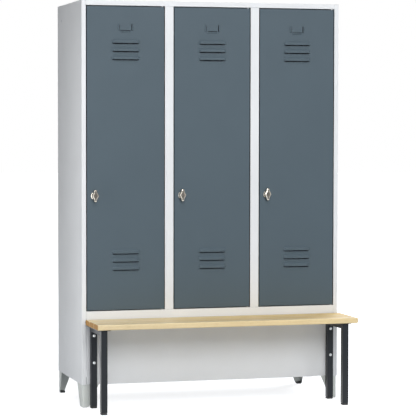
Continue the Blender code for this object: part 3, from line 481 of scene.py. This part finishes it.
def beech(name, pith, left, right, ring, end):
    """Steamed beech, planed, with rounded edges, under two coats of clear lacquer.

    It gives the eye a warm pale board with growth rings 4 mm apart, which run as long soft bands
    on its faces and as arcs on its ends, short brown flecks, and a low satin gloss. The end grain
    drinks the lacquer and turns a dull, deep honey brown. Each board is painted paler towards its
    left end as a painted sheen, and shade is painted into the gaps between the slats.
    """
    material, tree = new_material(name)
    late = growth_rings(tree, pith)
    wood = clouded_wood(tree, left, right)
    banded = add_node(tree, "ShaderNodeMixRGB", {"Fac": late, "Color1": wood, "Color2": ring}, "Color")
    board = drawn_points(tree, FIBRES_DRAWN)
    fibres = add_node(
        tree,
        "ShaderNodeTexNoise",
        {"Vector": board, "Scale": 1 / FIBRE_WIDTH, "Detail": FIBRE_LAYERS},
        "Fac",
    )
    fleck = add_node(
        tree,
        "ShaderNodeMapRange",
        {"Value": fibres, "From Min": FLECKS_FROM, "From Max": FLECKS_FULL, "To Max": FLECK_STRENGTH},
        "Result",
    )
    flecked = add_node(
        tree,
        "ShaderNodeMixRGB",
        {"Fac": fleck, "Color1": banded, "Color2": scaled(ring, FLECK_TONE)},
        "Color",
    )
    cut_end = cut_across(tree)
    end_grain = add_node(
        tree,
        "ShaderNodeMixRGB",
        {"Fac": late, "Color1": end, "Color2": scaled(end, END_RING_TONE)},
        "Color",
    )
    whole = add_node(
        tree, "ShaderNodeMixRGB", {"Fac": cut_end, "Color1": flecked, "Color2": end_grain}, "Color"
    )
    satin = add_node(
        tree,
        "ShaderNodeMapRange",
        {
            "Value": fibres,
            "From Min": NOISE_LOW,
            "From Max": NOISE_HIGH,
            "To Min": LACQUER_SMOOTH,
            "To Max": LACQUER_ROUGH,
        },
        "Result",
    )
    roughness = add_node(
        tree,
        "ShaderNodeMapRange",
        {"Value": cut_end, "To Min": satin, "To Max": LACQUER_ENDS},
        "Result",
    )
    pores = {"Height": fibres, "Distance": FIBRE_HEIGHT, "Strength": 1.0}
    surface(
        tree,
        {
            # painted shade: the wood dims in the gaps between the slats
            "Base Color": painted_gap_shade(tree, whole, SLAT_GAP_SHADE_REACH, GAP_SHADE_DIM),
            "Metallic": 0.0,
            "Roughness": roughness,
            "IOR": LACQUER_IOR,
            "Normal": add_node(tree, "ShaderNodeBump", pores, "Normal"),
            "Specular IOR Level": LACQUER_SHEEN,
            "Coat Weight": LACQUER_COAT,
            "Coat Roughness": LACQUER_COAT_ROUGHNESS,
        },
    )
    return material


# Zinc plate: its straw and blue tints as shares of the base colour, and its patterns
ZINC_STRAW = (1.0, 0.98, 0.93)
ZINC_BLUE = (0.95, 0.98, 1.0)
ZINC_TINT = (14 * MM, 2)
ZINC_CLOUDS = (6 * MM, 3)
ZINC_ROUGHNESS = (0.26, 0.4)
ZINC_GRAIN = (0.8 * MM, 2)
ZINC_GRAIN_HEIGHT = 0.01 * MM


def zinc_plate(name, base):
    """Bright zinc, plated on drawn and turned steel.

    It gives the eye a cool silvery metal, a little cloudy, with a faint straw and blue tint.
    """
    material, tree = new_material(name)
    points = add_node(tree, "ShaderNodeTexCoord", gives="Object")
    straw, blue = (tuple(c * s for c, s in zip(base, tint)) for tint in (ZINC_STRAW, ZINC_BLUE))
    share = patches(tree, points, ZINC_TINT)
    tone = add_node(tree, "ShaderNodeMixRGB", {"Fac": share, "Color1": straw, "Color2": blue}, "Color")
    surface(
        tree,
        {
            # painted shade: the hinge pins go nearly black in the door gaps
            "Base Color": painted_gap_shade(tree, tone, SHEET_GAP_SHADE_REACH, GAP_SHADE_BLACK),
            "Metallic": 1.0,
            "Roughness": patches(tree, points, ZINC_CLOUDS, *ZINC_ROUGHNESS),
            "Normal": relief(tree, points, ZINC_GRAIN, ZINC_GRAIN_HEIGHT),
        },
    )
    return material


# Nickel plate: its patterns, the shares of its tones and the range of its roughness
NICKEL_CLOUDS = (9 * MM, 2)
NICKEL_TONES = (0.9, 1.06)
NICKEL_TUMBLING = (5 * MM, 3)
NICKEL_ROUGHNESS = (0.1, 0.17)
NICKEL_GRAIN = (1.2 * MM, 2)
NICKEL_GRAIN_HEIGHT = 0.006 * MM


def nickel_casting(name, base):
    """Zinc alloy, die-cast, tumbled and nickel-plated.

    It gives the eye a warm bright metal whose faces go nearly white or nearly black with what
    they mirror, softened by the tumbling.
    """
    material, tree = new_material(name)
    points = add_node(tree, "ShaderNodeTexCoord", gives="Object")
    tone = mottled(tree, points, base, NICKEL_CLOUDS, NICKEL_TONES)
    surface(
        tree,
        {
            # painted shade: the nickel dims where the latch is closed in
            "Base Color": painted_gap_shade(tree, tone, SHEET_GAP_SHADE_REACH, GAP_SHADE_DIM),
            "Metallic": 1.0,
            "Roughness": patches(tree, points, NICKEL_TUMBLING, *NICKEL_ROUGHNESS),
            "Normal": relief(tree, points, NICKEL_GRAIN, NICKEL_GRAIN_HEIGHT),
        },
    )
    return material


# Plastics: their patterns, the shares of their tones and how far their roughness varies
PLASTIC_CLOUDS = (12 * MM, 2)
PLASTIC_TONES = (0.9, 1.12)
PLASTIC_WEAR = (7 * MM, 3)
PLASTIC_WEAR_RANGE = 0.06
PLASTIC_GRAIN_HEIGHT = 0.03 * MM
PLASTIC_IOR = 1.51

# Roughness of each plastic, and the width and finer layers of its mould's grain
GREY_PLASTIC = (0.5, (0.9 * MM, 1))
BLACK_PLASTIC = (0.55, (0.9 * MM, 1))
BUFFER_RUBBER = (0.7, (0.7 * MM, 1))


def polymer(name, base, kind):
    """A moulded plastic or rubber.

    It gives the eye a dull, even surface with the fine spark-eroded grain of its mould.
    """
    roughness, grain = kind
    material, tree = new_material(name)
    points = add_node(tree, "ShaderNodeTexCoord", gives="Object")
    least, most = roughness - PLASTIC_WEAR_RANGE, roughness + PLASTIC_WEAR_RANGE
    surface(
        tree,
        {
            "Base Color": mottled(tree, points, base, PLASTIC_CLOUDS, PLASTIC_TONES),
            "Metallic": 0.0,
            "Roughness": patches(tree, points, PLASTIC_WEAR, least, most),
            "IOR": PLASTIC_IOR,
            "Normal": relief(tree, points, grain, PLASTIC_GRAIN_HEIGHT),
        },
    )
    return material


def dress(material, *nodes):
    """Gives frame nodes or new pieces their only material."""
    for item in nodes:
        piece = frame["nodes"][item] if isinstance(item, str) else item
        piece.data.materials.clear()
        piece.data.materials.append(material)


def nodes_of(slot):
    """The frame's nodes that the record gives one finish."""
    return [part["node"] for part in frame["record"]["subparts"] if part["material_slot"] == slot]


# Mesh pieces

# Turned pieces: steps round a buffer, round a screw and along a rounded edge
BUFFER_STEPS = 32
SCREW_STEPS = 24
ARC_STEPS = 6

# Points closer than this are merged, and an edge that bends by more than this is left sharp
MERGE_DISTANCE = 0.001 * MM
SHARP_ANGLE = math.radians(35)

# Recess in a screw's head: its radius and its bottom's height, as shares of the head's
RECESS_RADIUS_SHARE = 0.42
RECESS_BOTTOM_SHARE = 0.35


def lathe(name, profile, turn, spot, steps):
    """A turned piece: (radius, height) points are spun about Z, then turned and put in place."""
    bm = bmesh.new()
    points = [bm.verts.new((radius, 0, height)) for radius, height in profile]
    edges = [bm.edges.new(pair) for pair in zip(points, points[1:])]
    bmesh.ops.spin(
        bm, geom=points + edges, axis=(0, 0, 1), cent=(0, 0, 0), angle=2 * math.pi, steps=steps,
        use_merge=True,
    )
    bmesh.ops.remove_doubles(bm, verts=bm.verts, dist=MERGE_DISTANCE)
    bmesh.ops.recalc_face_normals(bm, faces=bm.faces)
    mesh = bpy.data.meshes.new(name)
    bm.to_mesh(mesh)
    bm.free()
    mesh.shade_smooth()
    mesh.set_sharp_from_angle(angle=SHARP_ANGLE)
    mesh.transform(Matrix.Translation(spot) @ turn)
    piece = bpy.data.objects.new(name, mesh)
    bpy.context.scene.collection.objects.link(piece)
    return piece


def rounded_edge(centre, radius):
    """Points of a quarter arc in a lathe's profile, from its top to its outside."""
    angles = [math.radians(90 - 90 * i / ARC_STEPS) for i in range(ARC_STEPS + 1)]
    return [(centre[0] + radius * math.cos(a), centre[1] + radius * math.sin(a)) for a in angles]


class LOCKER_OT_case(Operator):
    """Powder-coats the case, its feet and its shelves, and finishes its plugs"""

    bl_idname = "locker.case"
    bl_label = "Finish the case"

    def execute(self, context):
        steel = nodes_of("case_steel")
        dress(powder_coat("light grey powder-coated steel", finishes().case_grey, CASE_COAT), *steel)
        # the feet's coat is a greener grey, darkened as painted shade for their front faces
        feet = powder_coat("grey powder-coated steel", finishes().feet_grey_and_shade, CASE_COAT)
        dress(feet, *(node for node in steel if node.startswith("foot")))
        plastic = polymer("grey moulded polyethylene", finishes().grey, GREY_PLASTIC)
        dress(plastic, *nodes_of("grey_plastic"))
        return {"FINISHED"}


class LOCKER_OT_doors(Operator):
    """Powder-coats the doors"""

    bl_idname = "locker.doors"
    bl_label = "Finish the doors"

    def execute(self, context):
        coat = powder_coat("blue-grey powder-coated steel", finishes().door_grey, DOOR_COAT)
        dress(coat, *nodes_of("door_steel"))
        return {"FINISHED"}


class LOCKER_OT_buffers(Operator):
    """Adds the rubber buffers that the doors close on"""

    bl_idname = "locker.buffers"
    bl_label = "Door buffers"

    def execute(self, context):
        rubber = polymer("moulded rubber", finishes().rubber, BUFFER_RUBBER)
        size = sizes()
        radius = size.buffer_radius
        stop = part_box("side_panel_left")[0].y + size.stop_depth
        for bay in BAYS:
            low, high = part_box("door_panel_" + bay)
            depth = stop - high.y
            rounding = depth / 2
            edge = rounded_edge((radius - rounding, rounding), rounding)
            profile = [(0, depth), *edge, (radius, 0)]
            for end, z in (("low", low.z + size.buffer_drop), ("high", high.z - size.buffer_drop)):
                spot = Vector((low.x + size.buffer_inset, stop, z))
                name = "door_buffer_%s_%s" % (end, bay)
                buffer = lathe(name, profile, HEAD_FRONT, spot, BUFFER_STEPS)
                dress(rubber, buffer)
                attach(buffer, "root")
        return {"FINISHED"}


class LOCKER_OT_latches(Operator):
    """Finishes the turn latches"""

    bl_idname = "locker.latches"
    bl_label = "Finish the latches"

    def execute(self, context):
        dress(nickel_casting("nickel-plated casting", finishes().nickel), *nodes_of("latch_metal"))
        return {"FINISHED"}


class LOCKER_OT_bench(Operator):
    """Finishes the slats in beech and the bench's frames in powder coat"""

    bl_idname = "locker.bench"
    bl_label = "Finish the bench"

    def execute(self, context):
        coat = powder_coat("anthracite powder-coated steel tube", finishes().frame_grey, FRAME_COAT)
        dress(coat, *nodes_of("bench_steel"))
        # the palest beech is a painted sheen on the boards' left ends
        sheen_pale, warm = Vector(finishes().beech), Vector(finishes().beech_warm)
        for i, slat in enumerate(SLATS):
            low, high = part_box("seat_slat_" + slat)
            across = (low.y + high.y) / 2 + (i - 1) * PITH_ASIDE
            pith = Vector((PITH_ALONG * i, across, low.z - (PITH_DEPTH + PITH_DEEPER * i)))
            left, right = (tuple(sheen_pale.lerp(warm, share)) for share in WARM_SHARES[slat])
            tones = (left, right, finishes().beech_ring, finishes().beech_end)
            dress(beech("lacquered beech, %s slat" % slat, pith, *tones), "seat_slat_" + slat)
        return {"FINISHED"}


class LOCKER_OT_fittings(Operator):
    """Finishes the zinc-plated fittings and the black plastic glides and caps"""

    bl_idname = "locker.fittings"
    bl_label = "Finish the fittings"

    def execute(self, context):
        dress(zinc_plate("bright zinc-plated steel", finishes().zinc), *nodes_of("zinc_steel"))
        black = polymer("black moulded polyethylene", finishes().black, BLACK_PLASTIC)
        dress(black, *nodes_of("black_plastic"))
        return {"FINISHED"}


class LOCKER_OT_screws(Operator):
    """Adds the pan-head screws that hold the slats from below"""

    bl_idname = "locker.screws"
    bl_label = "Slat screws"

    def execute(self, context):
        zinc = bpy.data.materials["bright zinc-plated steel"]
        size = sizes()
        radius, height = size.screw_radius, size.screw_height
        recess, bottom = radius * RECESS_RADIUS_SHARE, height * RECESS_BOTTOM_SHARE
        edge = rounded_edge((radius - height, 0), height)
        profile = [(0, bottom), (recess, bottom), (recess, height), *edge]
        for side in SIDES:
            low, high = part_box("bench_frame_" + side)
            middle = (low.x + high.x) / 2
            for slat in SLATS:
                board_low, board_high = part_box("seat_slat_" + slat)
                across = (board_low.y + board_high.y) / 2
                for i, aside in enumerate((-size.screw_aside, size.screw_aside)):
                    spot = Vector((middle + aside, across, high.z - size.plate))
                    name = "slat_screw_%s_%s_%d" % (slat, side, i + 1)
                    screw = lathe(name, profile, HEAD_DOWN, spot, SCREW_STEPS)
                    dress(zinc, screw)
                    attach(screw, "root")
        return {"FINISHED"}


# Stage

WHITE = (1, 1, 1)

# The floor's radius and the end of the camera's sight in metres, its sensor in millimetres
FLOOR_RADIUS = 40
FLOOR_STEPS = 96
CLIP_END = 200
SENSOR_WIDTH = 36

# What gloss sees of the unlit end of the studio, as a share of white, and where that end lies
UNLIT = 0.12
UNLIT_END = Vector((0.41, -0.91, 0))

# Where the floor, in metres, and the room, as a direction, start and end to dim towards it
FLOOR_DIMMING = (0.8, 2.6)
ROOM_DIMMING = (0.7, 0.95)

# Lamps: the place, the point it faces, width and height in metres, and power in watts
LOCKER_MIDDLE = (0, -0.1, 0.9)
LAMPS = {
    "key_lamp": ((-1.1, -7.4, 4.6), LOCKER_MIDDLE, 3.2, 3.2, 226),
    "fill_lamp": ((2.4, -7.0, 3.6), LOCKER_MIDDLE, 3.0, 3.0, 122),
    "top_lamp": ((-0.8, -4.4, 7.4), LOCKER_MIDDLE, 3.2, 3.2, 176),
    "low_lamp": ((-1.8, -8.2, 0.9), LOCKER_MIDDLE, 2.4, 1.4, 24),
    "side_strip": ((-1.02, -0.24, 0.8), (-0.6, -0.05, 0.8), 0.15, 1.9, 2.05),
    "back_lamp": ((4.2, 3.8, 3.2), LOCKER_MIDDLE, 2.6, 2.6, 250),
}


def lamp(name, spot, aim, width, height, power):
    """A soft rectangular studio lamp that faces a point."""
    data = bpy.data.lights.new(name, "AREA")
    data.shape = "RECTANGLE"
    data.size = width
    data.size_y = height
    data.energy = power
    piece = bpy.data.objects.new(name, data)
    piece.location = spot
    piece.rotation_euler = (Vector(aim) - Vector(spot)).to_track_quat("-Z", "Y").to_euler()
    piece.visible_camera = False
    bpy.context.scene.collection.objects.link(piece)


def white_rays(tree, place, dimming):
    """1 for the rays that show the background to the camera and in glass.

    Gloss and metal see it too, but it dims between two places towards the unlit end of the
    studio, at the front and a little to the right.
    """
    near, far = dimming
    path = add_node(tree, "ShaderNodeLightPath")
    along = add_node(
        tree, "ShaderNodeVectorMath", {0: place, 1: UNLIT_END}, "Value", operation="DOT_PRODUCT"
    )
    lit = add_node(
        tree,
        "ShaderNodeMapRange",
        {"Value": along, "From Min": near, "From Max": far, "To Min": 1.0, "To Max": UNLIT},
        "Result",
        interpolation_type="SMOOTHSTEP",
    )
    glossy = path.outputs["Is Glossy Ray"]
    seen = add_node(tree, "ShaderNodeMath", {0: glossy, 1: lit}, "Value", operation="MULTIPLY")
    for other in ("Is Camera Ray", "Is Transmission Ray"):
        rays = path.outputs[other]
        seen = add_node(tree, "ShaderNodeMath", {0: seen, 1: rays}, "Value", operation="MAXIMUM")
    return seen


class LOCKER_OT_stage(Operator):
    """Sets up the floor, the pale room, the lamps and the camera"""

    bl_idname = "locker.stage"
    bl_label = "Stage"

    def execute(self, context):
        scene = context.scene
        stage = scene.locker_stage
        self.floor(stage)
        self.room(scene, stage)
        for name, values in LAMPS.items():
            lamp(name, *values)
        self.camera(scene, stage)
        scene.view_settings.view_transform = "Standard"
        return {"FINISHED"}

    def floor(self, stage):
        """A matt disc that shows the locker's shadow and whitens into the background."""
        bm = bmesh.new()
        bmesh.ops.create_circle(bm, cap_ends=True, segments=FLOOR_STEPS, radius=FLOOR_RADIUS)
        mesh = bpy.data.meshes.new("studio_floor")
        bm.to_mesh(mesh)
        bm.free()
        floor = bpy.data.objects.new("studio_floor", mesh)
        bpy.context.scene.collection.objects.link(floor)
        material, tree = new_material("matt white floor")
        matt = add_node(tree, "ShaderNodeBsdfDiffuse", {"Color": stage.floor_white}, "BSDF")
        points = add_node(tree, "ShaderNodeTexCoord", gives="Object")
        away = add_node(tree, "ShaderNodeVectorMath", {0: points}, "Value", operation="LENGTH")
        whitening = add_node(
            tree,
            "ShaderNodeMapRange",
            {
                "Value": away,
                "From Min": stage.glow_near_reach,
                "From Max": stage.glow_far_reach,
                "To Min": stage.glow_near,
                "To Max": 1.0,
            },
            "Result",
            interpolation_type="SMOOTHSTEP",
        )
        shown = white_rays(tree, points, FLOOR_DIMMING)
        lift = add_node(tree, "ShaderNodeMath", {0: shown, 1: whitening}, "Value", operation="MULTIPLY")
        glow = add_node(tree, "ShaderNodeEmission", {"Color": WHITE, "Strength": lift}, "Emission")
        both = add_node(tree, "ShaderNodeAddShader", {0: matt, 1: glow}, "Shader")
        add_node(tree, "ShaderNodeOutputMaterial", {"Surface": both})
        mesh.materials.append(material)

    def room(self, scene, stage):
        """A white background that lights the locker only faintly."""
        world = bpy.data.worlds.new("pale studio")
        world.use_nodes = True
        tree = world.node_tree
        tree.nodes.clear()
        direction = add_node(tree, "ShaderNodeTexCoord", gives="Generated")
        shown = white_rays(tree, direction, ROOM_DIMMING)
        strength = add_node(
            tree, "ShaderNodeMapRange", {"Value": shown, "To Min": stage.ambient, "To Max": 1.0}, "Result"
        )
        background = add_node(
            tree, "ShaderNodeBackground", {"Color": WHITE, "Strength": strength}, "Background"
        )
        add_node(tree, "ShaderNodeOutputWorld", {"Surface": background})
        scene.world = world

    def camera(self, scene, stage):
        """The camera at the photograph's angle."""
        data = bpy.data.cameras.new("camera")
        data.sensor_width = SENSOR_WIDTH
        data.lens = stage.lens
        data.shift_x = stage.shift
        data.clip_end = CLIP_END
        camera = bpy.data.objects.new("camera", data)
        camera.location = stage.camera_spot
        camera.rotation_euler = (math.pi / 2 - stage.pitch, 0, -stage.yaw)
        scene.collection.objects.link(camera)
        scene.camera = camera


STEPS = (
    LOCKER_OT_case,
    LOCKER_OT_doors,
    LOCKER_OT_buffers,
    LOCKER_OT_latches,
    LOCKER_OT_bench,
    LOCKER_OT_fittings,
    LOCKER_OT_screws,
    LOCKER_OT_stage,
)


class LOCKER_PT_panel(Panel):
    """Steps, colours and sizes of the locker"""

    bl_idname = "LOCKER_PT_panel"
    bl_label = "Locker with Bench"
    bl_space_type = "VIEW_3D"
    bl_region_type = "UI"
    bl_category = "Locker"

    def draw(self, context):
        layout = self.layout
        for step in STEPS:
            layout.operator(step.bl_idname)
        for name in GROUPS:
            group = getattr(context.scene, name)
            column = layout.column()
            for key in group.__annotations__:
                column.prop(group, key)


GROUPS = {
    "locker_finishes": LockerFinishes,
    "locker_sizes": LockerSizes,
    "locker_stage": LockerStage,
}
CLASSES = (*GROUPS.values(), *STEPS, LOCKER_PT_panel)


def register():
    for item in CLASSES:
        bpy.utils.register_class(item)
    for name, group in GROUPS.items():
        setattr(bpy.types.Scene, name, PointerProperty(type=group))


def unregister():
    for name in GROUPS:
        delattr(bpy.types.Scene, name)
    for item in reversed(CLASSES):
        bpy.utils.unregister_class(item)


def main():
    """Builds the whole scene round the frame."""
    register()
    for step in STEPS:
        section, name = step.bl_idname.split(".")
        getattr(getattr(bpy.ops, section), name)()
    bpy.context.view_layer.update()


if __name__ == "__main__":
    main()
